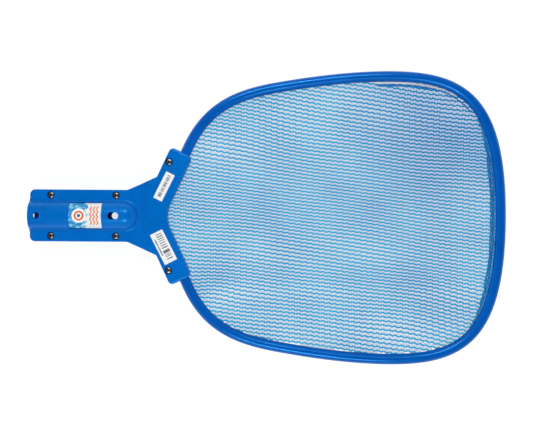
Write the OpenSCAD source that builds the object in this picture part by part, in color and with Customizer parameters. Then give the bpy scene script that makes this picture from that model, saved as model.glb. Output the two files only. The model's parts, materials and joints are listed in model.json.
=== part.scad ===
// Leaf skimmer net: a two-part moulded handle and yoke, screwed together round
// the tails of a bent hoop that carries a shallow net.
// X runs from the mouth of the pole socket to the net, Z is up.

/* [Pole socket] */
// Radius of the bore that takes the pole
bore_r = 16.1; // [12:0.1:22]
// Depth of the bore from its mouth to the pole stop
bore_depth = 121; // [95:1:160]
// Thickness of the wall round the bore
bore_wall = 3.9; // [2.5:0.1:6]
// Distance from the end of the bore to the start of the dome
dome_gap = 6; // [3:0.5:12]
// Radius of the button hole near the mouth
button_r = 4.4; // [3:0.1:6]
// Distance of the button hole from the mouth
button_x = 12; // [8:0.5:16]
// Length of the button slot
slot_len = 15; // [12:0.5:20]
// Width of the button slot
slot_w = 9.3; // [7:0.1:12]
// Distance of the middle of the slot from the end of the bore
slot_inset = 7.5; // [6:0.5:20]

/* [Handle] */
// Width of each flange beside the housing
flange_w = 15; // [12:0.5:24]
// Distance from the start of the dome to the neck
neck_gap = 4; // [0:0.5:8]
// Thickness of the flange on each half
flange_h = 6; // [4.5:0.1:8]
// How far the flanges stay back from the mouth
flange_back = 0; // [0:0.1:4]
// Radius of the corners at the mouth
mouth_corner_r = 7; // [2:0.5:12]

/* [Yoke] */
// Thickness of the yoke over the hoop's tails
tail_roof = 2.1; // [1.5:0.1:4]
// Lean of each wing from square to the handle, in degrees
wing_lean = 24.8; // [18:0.2:32]
// Width of each wing behind the hoop's tail
wing_back = 13.5; // [10.5:0.1:20]
// Length of each wing along its inner edge
wing_len = 88; // [72:1:120]
// Distance from the tip of the dome to the point where the inner edges meet
vee_gap = 34; // [26:0.5:50]
// Radius that rounds the inner vee
vee_r = 40; // [10:1:60]
// Spread of the neck from the handle's line, in degrees
neck_spread = 24; // [18:1:32]
// Radius of the wing's outer corner
wing_outer_r = 6; // [2:0.5:8]
// Radius of the wing's inner corner
wing_inner_r = 7; // [1:0.5:8]
// Thickness of the yoke's skin and walls
skin = 2.8; // [2:0.1:4]

/* [Hoop] */
// Radius of the round hoop profile
tube_r = 7.1; // [5.8:0.1:9]
// Length of the hoop from the vee to its front
hoop_len = 460; // [380:1:560]
// Overall width of the hoop
hoop_w = 395.8; // [320:0.1:480]
// Distance from the vee to the widest place of the hoop
wide_at = 305; // [250:1:340]
// Distance from the vee to the start of the shoulders
shoulder_at = 151; // [120:1:190]
// How far the shoulders start inside the hoop's widest line
shoulder_drop = 16; // [8:0.1:30]
// Slope of the sides at the shoulders, in degrees
shoulder_slope = 10.2; // [4:0.1:16]
// Distance of the hoop's tails from the inner edge of the wings
tail_inset = 11; // [10:0.1:14]
// Length of each tail inside its wing
tail_len = 70; // [50:1:84]
// Outer radius of the metal tube in the hoop
core_r = 3.5; // [2.5:0.1:4.2]
// Wall of the metal tube
core_wall = 1; // [0.6:0.1:1.5]

/* [Net] */
// Thickness of the net
net_t = 1; // [0.6:0.1:1.4]
// How far the net hangs below the hoop's middle plane
net_drop = 14; // [6:1:18]
// Radius of the cord in the net's hem
cord_r = 1.2; // [0.8:0.1:1.5]

/* [Screws] */
// Distance of the first pair of handle screws from the mouth
screw_x1 = 28; // [20:1:45]
// Distance of the second pair of handle screws from the neck
neck_screw_gap = 15.7; // [10:0.1:30]
// Distance of the wing screws from the outer edge of the wing
wing_screw_inset = 6.5; // [5.6:0.1:8]
// Distance of the wing screws from the vee, along the wing
wing_screw_u = 68.5; // [60:0.5:78]
// Radius of the screw heads
head_r = 4.2; // [3.4:0.1:5]
// Height of the screw heads
head_h = 2.4; // [1.6:0.1:2.9]
// Radius of the screw shanks
shank_r = 1.8; // [1.5:0.1:2.2]

/* [Labels] */
// Distance of the front label from the mouth
label_x = 54.8; // [40:0.1:58]
// Gap between the front label and the button slot
label_gap = 8; // [4:0.5:16]
// Height of the front label's edges above the flanges
label_rise = 4.5; // [2:0.5:8]
// Thickness of the label and the stickers
label_t = 0.3; // [0.2:0.05:0.5]
// Length of the plain sticker on the upper wing
tag_len = 39.1; // [30:0.1:44]
// Width of the plain sticker on the upper wing
tag_w = 12.7; // [8:0.1:16]
// Length of the striped sticker on the lower wing
stripe_tag_len = 44.8; // [30:0.1:48]
// Width of the striped sticker on the lower wing
stripe_tag_w = 18.2; // [10:0.1:20]

/* [Hidden] */
$fn = 64;

UP = [0, 0, 1];
clearance = 0.15;       // round the hoop's tails
seam_gap = 0.3;         // round the label in its recess
overrun = 1;            // how far a cut runs past the face that it opens
housing_r = bore_r + bore_wall;
dome_x = bore_depth + dome_gap;
housing_len = dome_x + housing_r;
handle_w = 2 * (housing_r + flange_w);
handle_len = dome_x + neck_gap;
slot_x = bore_depth - slot_inset;
ramp_x1 = housing_len + 2; // the yoke thickens over this slope
ramp_x2 = ramp_x1 + 11;
vee_x = housing_len + vee_gap;
yoke_h = tube_r + tail_roof;
wing_w = tail_inset + tube_r + wing_back;
screw_x2 = handle_len - neck_screw_gap;
screw_y = housing_r + flange_w / 2;
far_x = vee_x + wing_len;
far_y = 2 * wing_len;

// Heads sit in counterbores, and the shanks end in the back half.
counterbore_r = head_r + 0.5;
handle_seat = flange_h - head_h - 0.8;
wing_seat = yoke_h - head_h - 1.2;
handle_screw_len = handle_seat + flange_h - 0.8;
wing_screw_len = wing_seat + yoke_h - 2.6;

label_recess = 0.6;     // depth of the label's recess
recess_r = housing_r - label_recess;
label_len = slot_x - slot_len / 2 - label_gap - label_x;
label_w = 2 * sqrt(pow(recess_r + label_t, 2) - pow(flange_h + label_rise, 2));
guide_depth = 0.4;      // depth of the shallow panel round the button hole
guide_w = 20;
guide_len = 2 * button_x;

// Places across the hoop's section, inward from its middle line
cord_at = tube_r - cord_r - 1.9;
net_edge = cord_at + cord_r + 0.05;
groove_r = cord_r + 0.1; // half width of the groove for the hem
groove_at = cord_at - cord_r - 0.2; // bottom of the groove
core_at = groove_at - core_r - 0.7; // the metal tube lies outside the middle line
slit_h = net_t / 2 + 0.4; // half height of the slit between the shells for the net
flat_margin = tail_inset - net_edge + 1.75; // the net stays flat this far from its edge
sleeve_sides = 16;
core_sides = 10;
cord_sides = 6;
steps = 11;             // path steps on each curve of the hoop
net_rings = 7;

// ---- Plane geometry ----
function unit(v) = v / norm(v);
function turned(v, s) = [v[0], s * v[1]];
function bez(p, t) = pow(1 - t, 3) * p[0] + 3 * t * pow(1 - t, 2) * p[1]
                   + 3 * t * t * (1 - t) * p[2] + pow(t, 3) * p[3];
function mirrored(pts) = [for (i = [len(pts) - 1 : -1 : 0]) turned(pts[i], -1)];

// A point on a wing: u along its inner edge from the vee, v from that edge into the wing.
function wing(u, v) = [vee_x - v * cos(wing_lean) + u * sin(wing_lean),
                       v * sin(wing_lean) + u * cos(wing_lean)];
// Where the line through p at angle a meets the wing's line at v, as u.
function wing_u_at(p, a, v) =
    let (o = wing(0, v) - p, w = [sin(wing_lean), cos(wing_lean)], n = [-sin(a), cos(a)])
    -(o * n) / (w * n);

// The arc that rounds the corner p between a and b.
function corner(a, p, b, r, n = 6) =
    let (u = unit(a - p), v = unit(b - p), half = acos(u * v) / 2,
         c = p + unit(u + v) * r / sin(half),
         s = p + u * r / tan(half) - c, e = p + v * r / tan(half) - c,
         a0 = atan2(s[1], s[0]), turn = atan2(s[0] * e[1] - s[1] * e[0], s * e))
    [for (k = [0 : n]) c + r * [cos(a0 + turn * k / n), sin(a0 + turn * k / n)]];

// ---- The yoke's plan ----
neck_start = [handle_len, handle_w / 2];
neck_end = wing(wing_u_at(neck_start, neck_spread, wing_w), wing_w);
side_plan = concat(
    [neck_start],
    corner(neck_start, neck_end, wing(wing_len, wing_w), 4),
    corner(neck_end, wing(wing_len, wing_w), wing(wing_len, 0), wing_outer_r),
    corner(wing(wing_len, wing_w), wing(wing_len, 0), [vee_x, 0], wing_inner_r));
mouth_plan = corner([flange_back, 0], [flange_back, handle_w / 2], neck_start, mouth_corner_r);
vee_plan = corner(wing(wing_len, 0), [vee_x, 0], turned(wing(wing_len, 0), -1), vee_r);
plan = concat(mouth_plan, side_plan, vee_plan, mirrored(side_plan), mirrored(mouth_plan));

// ---- The hoop's path, from the lower tail round the front to the upper tail ----
front = [vee_x + hoop_len - tube_r, 0];
wide = [vee_x + wide_at, hoop_w / 2 - tube_r];
shoulder = [vee_x + shoulder_at, wide[1] - shoulder_drop];
shoulder_dir = -[cos(shoulder_slope), sin(shoulder_slope)];
tail_dir = [sin(wing_lean), cos(wing_lean)];
tail_top = wing(wing_len + 10, tail_inset);
tail_end = wing(wing_len - tail_len, tail_inset);
front_curve = [front, front + [0, 0.84 * wide[1]],
               wide + [0.66 * (front[0] - wide[0]), 0], wide];
side_curve = [wide, wide - [50, 0], shoulder - 50 * shoulder_dir, shoulder];
shoulder_curve = [shoulder, shoulder + 54 * shoulder_dir, tail_top + 61 * tail_dir, tail_top];
half_path = concat(
    [for (i = [1 : steps]) bez(front_curve, i / steps)],
    [for (i = [1 : steps - 4]) bez(side_curve, i / (steps - 4))],
    [for (i = [1 : steps]) bez(shoulder_curve, i / steps)],
    [wing(wing_len, tail_inset), tail_end]);
path = concat(mirrored(half_path), [front], half_path);
function path_dir(i) = unit(path[min(i + 1, len(path) - 1)] - path[max(i - 1, 0)]);
function inward(i) = [-path_dir(i)[1], path_dir(i)[0]];
// The point of the hoop's section at a (inward) and b (up), at step i.
function section_point(i, s) =
    let (p = path[i] + s[0] * inward(i)) [p[0], p[1], s[1]];

function ring(r, at, n) = [for (k = [0 : n - 1]) [at + r * cos(360 * (k + 0.5) / n),
                                                  r * sin(360 * (k + 0.5) / n)]];
// The sleeve's outline, with a groove on the net's side.
mouth_a = sqrt(pow(tube_r, 2) - pow(groove_r, 2));
mouth_turn = asin(groove_r / tube_r);
sleeve_outline = concat(
    [[groove_at, groove_r], [mouth_a, groove_r]],
    [for (k = [1 : sleeve_sides - 4])
        tube_r * [cos(mouth_turn + (360 - 2 * mouth_turn) * k / (sleeve_sides - 3)),
                  sin(mouth_turn + (360 - 2 * mouth_turn) * k / (sleeve_sides - 3))]],
    [[mouth_a, -groove_r], [groove_at, -groove_r]]);
sleeve_hole = ring(core_r + 0.1, core_at, sleeve_sides);
core_outline = ring(core_r, core_at, core_sides);
core_hole = ring(core_r - core_wall, core_at, core_sides);

// A tube along the hoop's path with an outline and a hole of as many points each.
module path_tube(outline, hole) {
    n = len(outline);
    m = len(path);
    last = 2 * n * (m - 1);
    points = [for (i = [0 : m - 1]) each [for (s = concat(outline, hole)) section_point(i, s)]];
    sides = [for (i = [0 : m - 2], j = [0 : n - 1])
        let (a = 2 * n * i, b = a + 2 * n, k = (j + 1) % n)
        each [[a + j, b + j, b + k], [a + j, b + k, a + k],
              [a + n + j, a + n + k, b + n + k], [a + n + j, b + n + k, b + n + j]]];
    ends = [for (j = [0 : n - 1])
        let (k = (j + 1) % n)
        each [[j, k, n + k], [j, n + k, n + j],
              [last + j, last + n + k, last + k], [last + j, last + n + j, last + n + k]]];
    polyhedron(points, concat(sides, ends));
}

// A solid cord along the hoop's path.
module path_cord(outline) {
    n = len(outline);
    m = len(path);
    points = [for (i = [0 : m - 1]) each [for (s = outline) section_point(i, s)]];
    sides = [for (i = [0 : m - 2], j = [0 : n - 1])
        let (a = n * i, b = a + n, k = (j + 1) % n)
        each [[a + j, b + j, b + k], [a + j, b + k, a + k]]];
    ends = [for (j = [1 : n - 2])
        each [[0, j, j + 1], [n * (m - 1), n * (m - 1) + j + 1, n * (m - 1) + j]]];
    polyhedron(points, concat(sides, ends));
}

// ---- Handle and yoke ----
module half_space() {
    translate([-overrun, -far_y, 0]) cube([far_x + 2 * overrun, 2 * far_y, 2 * housing_r]);
}

module along_x(x, r, h) {
    translate([x, 0, 0]) rotate([0, 90, 0]) cylinder(r = r, h = h);
}

module housing() {
    dome = [for (k = [0 : 9]) [housing_r * cos(10 * k), dome_x + housing_r * sin(10 * k)]];
    intersection() {
        rotate([0, 90, 0]) rotate_extrude()
            polygon(concat([[0, 0], [housing_r, 0]], dome, [[0, housing_len]]));
        half_space();
    }
}

// The space under the flanges' and the yoke's outer faces, lowered by drop.
module under_face(drop) {
    translate([0, far_y, 0]) rotate([90, 0, 0]) linear_extrude(2 * far_y)
        polygon([[-overrun, -overrun], [-overrun, flange_h - drop], [ramp_x1, flange_h - drop],
                 [ramp_x2, yoke_h - drop], [far_x, yoke_h - drop], [far_x, -overrun]]);
}

module slab() {
    intersection() {
        linear_extrude(yoke_h) polygon(plan);
        under_face(0);
    }
}

// The hollow on each side of the dome, between the neck and the hoop's channel.
module pocket() {
    channel_v = tail_inset + tube_r + clearance + skin;
    neck_in = neck_start - skin * [-sin(neck_spread), cos(neck_spread)];
    u_neck = wing_u_at(neck_in, neck_spread, wing_w - skin);
    u_axis = wing_u_at([0, skin / 2], 0, channel_v);
    intersection() {
        translate([0, 0, -overrun]) linear_extrude(overrun + yoke_h) difference() {
            polygon([[handle_len, skin / 2], wing(u_axis, channel_v), wing(u_neck, channel_v),
                     wing(u_neck, wing_w - skin), neck_in]);
            translate([dome_x, 0]) circle(r = housing_r + skin);
        }
        under_face(skin);
    }
}

module button_cuts() {
    run = (slot_len - slot_w) / 2;
    translate([button_x, 0, 0]) cylinder(r = button_r, h = 2 * housing_r);
    translate([slot_x - run, 0, 0]) cylinder(d = slot_w, h = 2 * housing_r);
    translate([slot_x + run, 0, 0]) cylinder(d = slot_w, h = 2 * housing_r);
    translate([slot_x - run, -slot_w / 2, 0]) cube([2 * run, slot_w, 2 * housing_r]);
}

module tail_channel() {
    depth = wing_len - tail_len - clearance;
    start = wing(depth, tail_inset);
    translate([start[0], start[1], 0]) rotate([0, 90, 90 - wing_lean])
        cylinder(r = tube_r + clearance, h = wing_len - depth + overrun);
}

module net_slit() {
    edge = flat_margin;
    apex = [vee_x - edge / cos(wing_lean), 0];
    outside = [vee_x + 2 * edge, 0];
    translate([0, 0, -overrun]) linear_extrude(overrun + slit_h)
        polygon([apex, wing(wing_len + overrun, edge), wing(wing_len + overrun, -edge), outside,
                 turned(wing(wing_len + overrun, -edge), -1),
                 turned(wing(wing_len + overrun, edge), -1)]);
}

module at_handle_screws() {
    for (x = [screw_x1, screw_x2], s = [-1, 1]) translate([x, s * screw_y, 0])
        rotate([0, 0, 0.6 * x + 20 * s]) children();
}

module at_wing_screws() {
    for (s = [-1, 1]) {
        p = turned(wing(wing_screw_u, wing_w - wing_screw_inset), s);
        translate([p[0], p[1], 0]) rotate([0, 0, 30 * s]) children();
    }
}

// One half of the handle and yoke, above the parting plane.
module half_shell() {
    difference() {
        union() {
            slab();
            housing();
        }
        along_x(-overrun, bore_r, bore_depth + overrun);
        button_cuts();
        net_slit();
        for (s = [0, 1]) mirror([0, s, 0]) {
            tail_channel();
            pocket();
        }
    }
}

module screw_well(seat) {
    translate([0, 0, seat]) cylinder(r = counterbore_r, h = yoke_h);
    translate([0, 0, -overrun]) cylinder(r = shank_r + 0.1, h = seat + 2 * overrun);
}

module label_blank(r, t, grow) {
    intersection() {
        difference() {
            along_x(label_x - grow, r + t, label_len + 2 * grow);
            along_x(label_x - grow - overrun, r, label_len + 2 * grow + 2 * overrun);
        }
        translate([label_x - grow, -label_w / 2 - grow, 0])
            cube([label_len + 2 * grow, label_w + 2 * grow, 2 * housing_r]);
    }
}

// ---- The pieces ----
module front_shell() {
    color("royalblue") difference() {
        half_shell();
        at_handle_screws() screw_well(handle_seat);
        at_wing_screws() screw_well(wing_seat);
        label_blank(recess_r, housing_r, seam_gap);
        intersection() {
            difference() {
                along_x(-overrun, 2 * housing_r, guide_len + overrun);
                along_x(-2 * overrun, housing_r - guide_depth, guide_len + 3 * overrun);
            }
            translate([-overrun, -guide_w / 2, 0])
                cube([guide_len + overrun, guide_w, 2 * housing_r]);
        }
    }
}

module back_shell() {
    color("mediumblue") difference() {
        mirror(UP) half_shell();
        at_handle_screws() translate([0, 0, handle_seat - handle_screw_len - 0.2])
            cylinder(r = shank_r + 0.05, h = handle_screw_len);
        at_wing_screws() translate([0, 0, wing_seat - wing_screw_len - 0.2])
            cylinder(r = shank_r + 0.05, h = wing_screw_len + 2);
    }
}

module screw(seat, length) {
    recess_w = head_r / 4;
    difference() {
        union() {
            translate([0, 0, seat]) cylinder(r = head_r, h = head_h);
            translate([0, 0, seat - length]) cylinder(r = shank_r, h = length + overrun);
        }
        for (a = [0, 90]) rotate([0, 0, a])
            translate([-head_r * 0.6, -recess_w / 2, seat + head_h / 2])
                cube([head_r * 1.2, recess_w, head_h]);
    }
}

module handle_screws() {
    color("dimgray") at_handle_screws() screw(handle_seat, handle_screw_len);
}

module wing_screws() {
    color("dimgray") at_wing_screws() screw(wing_seat, wing_screw_len);
}

module hoop_sleeve() {
    color("blue") path_tube(sleeve_outline, sleeve_hole);
}

module hoop_core() {
    color("silver") path_tube(core_outline, core_hole);
}

module hem_cord() {
    color("white") path_cord(ring(cord_r, cord_at, cord_sides));
}

// The net is a shallow dish with its edge in the hoop's groove.
module net() {
    edge = [for (i = [0 : len(path) - 1]) path[i] + net_edge * inward(i)];
    n = len(edge);
    middle = [wide[0] - 40, 0];
    // The net falls faster at the front of the hoop than elsewhere.
    function fall(p) = 18 + 90 * pow((front[0] - p[0]) / (front[0] - vee_x), 0.6);
    function height(p, d) = -net_drop
        * (1 - pow(1 - min(1, max(0, d - flat_margin) / fall(p)), 2));
    // The rings run from the flat margin towards the middle.
    shares = [for (k = [1 : net_rings]) pow(1 - (k - 1) / net_rings, 0.75)];
    function place(i, k) =
        let (flat = edge[i] + flat_margin * unit(middle - edge[i]),
             q = k == 0 ? edge[i] : middle + shares[k - 1] * (flat - middle))
        [q[0], q[1], height(edge[i], norm(q - edge[i]))];
    top = [for (k = [0 : net_rings], i = [0 : n - 1]) place(i, k) + [0, 0, net_t / 2]];
    bottom = [for (k = [0 : net_rings], i = [0 : n - 1]) place(i, k) - [0, 0, net_t / 2]];
    m = len(top);
    hub = [[middle[0], middle[1], net_t / 2 - net_drop], [middle[0], middle[1], -net_t / 2 - net_drop]];
    points = concat(top, bottom, hub);
    dish = [for (k = [0 : net_rings - 1], i = [0 : n - 1])
        let (j = (i + 1) % n, a = n * k, b = a + n)
        each [[a + i, b + i, b + j], [a + i, b + j, a + j],
              [m + a + i, m + b + j, m + b + i], [m + a + i, m + a + j, m + b + j]]];
    hub_faces = [for (i = [0 : n - 1])
        let (j = (i + 1) % n, a = n * net_rings)
        each [[a + i, 2 * m, a + j], [m + a + i, m + a + j, 2 * m + 1]]];
    rim = [for (i = [0 : n - 1])
        let (j = (i + 1) % n) each [[i, j, m + j], [i, m + j, m + i]]];
    color("deepskyblue") polyhedron(points, concat(dish, hub_faces, rim));
}

module front_label() {
    color("white") label_blank(recess_r, label_t, 0);
}

// A flat sticker on a wing, a little askew.
module wing_sticker(u, v, length, width, askew) {
    p = wing(u, v);
    translate([p[0], p[1], yoke_h]) rotate([0, 0, 90 - wing_lean - askew])
        translate([-length / 2, -width / 2, 0]) cube([length, width, label_t]);
}

module plain_sticker() {
    color("white") wing_sticker(35.9, 17.1, tag_len, tag_w, 1.5);
}

module striped_sticker() {
    color("whitesmoke") mirror([0, 1, 0])
        wing_sticker(37.4, 17.9, stripe_tag_len, stripe_tag_w, 2.4);
}

front_shell();
back_shell();
handle_screws();
wing_screws();
hoop_sleeve();
hoop_core();
hem_cord();
net();
front_label();
plain_sticker();
striped_sticker();
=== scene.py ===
"""A leaf skimmer net: moulded handle and yoke, bent hoop, knitted net, screws and labels.

Sizes are in metres. X runs from the mouth of the pole socket to the net, and Z is up.
"""

import json
import logging
import math
from dataclasses import dataclass, field
from enum import Enum
from typing import Callable, Iterable, Sequence

import bmesh
import bpy
import numpy as np
from mathutils import Matrix, Vector

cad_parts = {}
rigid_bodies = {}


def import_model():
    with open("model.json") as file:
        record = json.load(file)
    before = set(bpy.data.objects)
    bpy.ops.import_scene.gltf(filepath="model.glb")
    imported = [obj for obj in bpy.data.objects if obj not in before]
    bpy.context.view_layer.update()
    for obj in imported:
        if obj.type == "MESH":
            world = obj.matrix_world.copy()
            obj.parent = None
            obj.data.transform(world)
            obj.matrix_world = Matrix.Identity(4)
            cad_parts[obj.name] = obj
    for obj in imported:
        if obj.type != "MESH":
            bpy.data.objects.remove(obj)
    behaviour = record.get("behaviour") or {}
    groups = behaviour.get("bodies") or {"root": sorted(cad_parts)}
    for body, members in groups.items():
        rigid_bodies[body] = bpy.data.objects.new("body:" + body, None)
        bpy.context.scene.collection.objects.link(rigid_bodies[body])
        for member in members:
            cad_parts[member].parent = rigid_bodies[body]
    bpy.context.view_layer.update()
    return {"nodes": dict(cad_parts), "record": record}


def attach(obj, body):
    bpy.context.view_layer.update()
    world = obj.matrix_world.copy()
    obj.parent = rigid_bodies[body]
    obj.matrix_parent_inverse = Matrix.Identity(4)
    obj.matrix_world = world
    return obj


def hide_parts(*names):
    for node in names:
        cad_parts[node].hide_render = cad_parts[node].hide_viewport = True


LOG = logging.getLogger("skimmer")
MM = 0.001
Point2 = tuple[float, float]
Colour = tuple[float, float, float]


# ---------------------------------------------------------------- plane geometry


def unit(vector: np.ndarray) -> np.ndarray:
    """Gives the vector at length one."""
    return vector / np.linalg.norm(vector)


def unit_rows(vectors: np.ndarray) -> np.ndarray:
    """Gives every row of the array at length one."""
    return vectors / np.linalg.norm(vectors, axis=1)[:, None]


def flipped(point: Sequence[float]) -> np.ndarray:
    """Gives the point on the other side of the handle's line."""
    return np.array([point[0], -point[1]])


def corner(before: Sequence[float], at: Sequence[float], after: Sequence[float], radius: float,
           pieces: int = 6) -> list[np.ndarray]:
    """Rounds a corner of an outline.

    Args:
        before: the point before the corner.
        at: the corner.
        after: the point after the corner.
        radius: the radius of the arc.
        pieces: how many chords the arc has.

    Returns:
        The points of the arc.
    """
    at = np.asarray(at, float)
    u, v = unit(np.asarray(before) - at), unit(np.asarray(after) - at)
    half = math.acos(float(u @ v)) / 2
    centre = at + unit(u + v) * radius / math.sin(half)
    start = at + u * radius / math.tan(half) - centre
    end = at + v * radius / math.tan(half) - centre
    angle = math.atan2(start[1], start[0])
    turn = math.atan2(start[0] * end[1] - start[1] * end[0], float(start @ end))
    return [centre + radius * np.array([math.cos(angle + turn * k / pieces),
                                        math.sin(angle + turn * k / pieces)])
            for k in range(pieces + 1)]


def bezier(points: Sequence[np.ndarray], t: float) -> np.ndarray:
    """Gives the point at t on the cubic curve with those four points."""
    s = 1 - t
    return (s ** 3 * points[0] + 3 * t * s * s * points[1] + 3 * t * t * s * points[2]
            + t ** 3 * points[3])


@dataclass(frozen=True)
class Knot:
    """A place on the hoop's line, with the handles of its curve."""

    place: np.ndarray
    before: np.ndarray
    after: np.ndarray

    def flipped(self) -> "Knot":
        """The same knot on the other side of the handle's line."""
        return Knot(flipped(self.place), flipped(self.after), flipped(self.before))


@dataclass(frozen=True)
class SkimmerPlan:
    """The plan of the skimmer, worked out from its driving sizes."""

    bore_r: float
    bore_depth: float
    button_r: float
    button_x: float
    bore_wall: float = 3.9 * MM
    dome_gap: float = 6 * MM
    slot_len: float = 15 * MM
    slot_w: float = 9.3 * MM
    slot_inset: float = 7.5 * MM
    flange_w: float = 15 * MM
    neck_gap: float = 4 * MM
    flange_h: float = 6 * MM
    flange_back: float = 0.0
    mouth_corner_r: float = 7 * MM
    tail_roof: float = 2.1 * MM
    wing_lean: float = math.radians(24.8)
    wing_back: float = 13.5 * MM
    wing_len: float = 88 * MM
    vee_gap: float = 34 * MM
    vee_r: float = 40 * MM
    neck_spread: float = math.radians(24)
    wing_outer_r: float = 6 * MM
    wing_inner_r: float = 7 * MM
    tube_r: float = 7.1 * MM
    hoop_len: float = 460 * MM
    hoop_w: float = 395.8 * MM
    wide_at: float = 305 * MM
    shoulder_at: float = 151 * MM
    shoulder_drop: float = 16 * MM
    shoulder_slope: float = math.radians(10.2)
    tail_inset: float = 11 * MM
    tail_len: float = 70 * MM

    @property
    def housing_r(self) -> float:
        """Outer radius of the round housing."""
        return self.bore_r + self.bore_wall

    @property
    def dome_x(self) -> float:
        """Where the housing's dome starts."""
        return self.bore_depth + self.dome_gap

    @property
    def housing_len(self) -> float:
        """Where the dome ends."""
        return self.dome_x + self.housing_r

    @property
    def handle_half(self) -> float:
        """Half width of the handle."""
        return self.housing_r + self.flange_w

    @property
    def handle_len(self) -> float:
        """Where the neck starts to spread."""
        return self.dome_x + self.neck_gap

    @property
    def slot_x(self) -> float:
        """Middle of the button slot."""
        return self.bore_depth - self.slot_inset

    @property
    def vee_x(self) -> float:
        """Where the wings' inner edges meet."""
        return self.housing_len + self.vee_gap

    @property
    def yoke_h(self) -> float:
        """Thickness of the yoke on each half."""
        return self.tube_r + self.tail_roof

    @property
    def wing_w(self) -> float:
        """Width of each wing."""
        return self.tail_inset + self.tube_r + self.wing_back

    @property
    def tail_dir(self) -> np.ndarray:
        """Direction along the upper wing, away from the vee."""
        return np.array([math.sin(self.wing_lean), math.cos(self.wing_lean)])

    def wing(self, u: float, v: float) -> np.ndarray:
        """Gives a point on the upper wing.

        Args:
            u: distance from the vee along the wing's inner edge.
            v: distance from that edge into the wing.

        Returns:
            The point in the plan.
        """
        back = np.array([-math.cos(self.wing_lean), math.sin(self.wing_lean)])
        return np.array([self.vee_x, 0.0]) + u * self.tail_dir + v * back

    def wing_u_at(self, start: np.ndarray, angle: float, v: float) -> float:
        """Gives u where the line from start at that angle meets the wing's line at v."""
        normal = np.array([-math.sin(angle), math.cos(angle)])
        return -float((self.wing(0, v) - start) @ normal) / float(self.tail_dir @ normal)

    def outline(self) -> list[np.ndarray]:
        """Gives the outline of the handle and the yoke."""
        neck_start = np.array([self.handle_len, self.handle_half])
        neck_u = self.wing_u_at(neck_start, self.neck_spread, self.wing_w)
        neck_end = self.wing(neck_u, self.wing_w)
        outer, inner = self.wing(self.wing_len, self.wing_w), self.wing(self.wing_len, 0)
        vee, mouth = (self.vee_x, 0), (self.flange_back, self.handle_half)
        side = corner((self.flange_back, 0), mouth, neck_start, self.mouth_corner_r)
        side += corner(mouth, neck_start, neck_end, 12 * MM, 4)
        side += corner(neck_start, neck_end, outer, 4 * MM)
        side += corner(neck_end, outer, inner, self.wing_outer_r)
        side += corner(outer, inner, vee, self.wing_inner_r)
        vee_arc = corner(inner, vee, flipped(inner), self.vee_r, 12)
        return side + vee_arc + [flipped(p) for p in reversed(side)]

    def knots(self) -> list[Knot]:
        """Gives the knots of the hoop's line, from the lower tail to the upper one."""
        front = np.array([self.vee_x + self.hoop_len - self.tube_r, 0])
        wide = np.array([self.vee_x + self.wide_at, self.hoop_w / 2 - self.tube_r])
        shoulder = np.array([self.vee_x + self.shoulder_at, wide[1] - self.shoulder_drop])
        away = -np.array([math.cos(self.shoulder_slope), math.sin(self.shoulder_slope)])
        tail_top = self.wing(self.wing_len + 10 * MM, self.tail_inset)
        tail_end = self.wing(self.wing_len - self.tail_len, self.tail_inset)
        reach = np.array([0, 0.84 * wide[1]])
        upper = [
            Knot(wide, wide + np.array([0.66 * (front[0] - wide[0]), 0]), wide - (50 * MM, 0)),
            Knot(shoulder, shoulder - 50 * MM * away, shoulder + 54 * MM * away),
            Knot(tail_top, tail_top + 61 * MM * self.tail_dir, tail_top - 20 * MM * self.tail_dir),
            Knot(tail_end, tail_end + 20 * MM * self.tail_dir, tail_end - MM * self.tail_dir),
        ]
        lower = [knot.flipped() for knot in reversed(upper)]
        return lower + [Knot(front, front - reach, front + reach)] + upper

    def hoop_line(self, pieces: int = 40) -> np.ndarray:
        """Gives points along the hoop's line, with so many pieces between two knots."""
        knots = self.knots()
        points = [knots[0].place]
        for a, b in zip(knots, knots[1:]):
            curve = (a.place, a.after, b.before, b.place)
            points += [bezier(curve, k / pieces) for k in range(1, pieces + 1)]
        return np.array(points)


# ---------------------------------------------------------------- modelling


def select_none() -> None:
    """Deselects every object."""
    for obj in bpy.context.view_layer.objects:
        obj.select_set(False)


def only(obj: bpy.types.Object) -> None:
    """Makes obj the one selected and active object."""
    select_none()
    obj.select_set(True)
    bpy.context.view_layer.objects.active = obj


def edit(obj: bpy.types.Object) -> None:
    """Opens obj in edit mode."""
    only(obj)
    bpy.ops.object.mode_set(mode="EDIT")


def leave_edit() -> None:
    """Goes back to object mode."""
    bpy.ops.object.mode_set(mode="OBJECT")


def pick(obj: bpy.types.Object, edges: Callable[[bmesh.types.BMEdge], bool]) -> int:
    """Selects edges of the object that is in edit mode.

    Args:
        obj: the object.
        edges: says whether an edge is wanted.

    Returns:
        How many edges were selected.
    """
    bpy.ops.mesh.select_mode(type="EDGE")
    bpy.ops.mesh.select_all(action="DESELECT")
    mesh = bmesh.from_edit_mesh(obj.data)
    wanted = [e for e in mesh.edges if edges(e)]
    for e in wanted:
        e.select_set(True)
    bmesh.update_edit_mesh(obj.data)
    return len(wanted)


def ring_of(name: str, points: Sequence[Sequence[float]], filled: bool) -> bpy.types.Object:
    """Adds a circle and shapes it into a closed outline.

    Args:
        name: the object's name.
        points: the outline's points in space.
        filled: whether a face fills it.

    Returns:
        The object.
    """
    select_none()
    bpy.ops.mesh.primitive_circle_add(vertices=len(points), radius=0.1,
                                      fill_type="NGON" if filled else "NOTHING")
    obj = bpy.context.object
    obj.name = obj.data.name = name
    for vertex, point in zip(obj.data.vertices, points):
        vertex.co = point
    return obj


def tidy_faces(obj: bpy.types.Object) -> None:
    """Merges doubles and turns every face outwards."""
    edit(obj)
    bpy.ops.mesh.select_all(action="SELECT")
    bpy.ops.mesh.remove_doubles(threshold=1e-6)
    bpy.ops.mesh.normals_make_consistent(inside=False)
    leave_edit()


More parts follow.
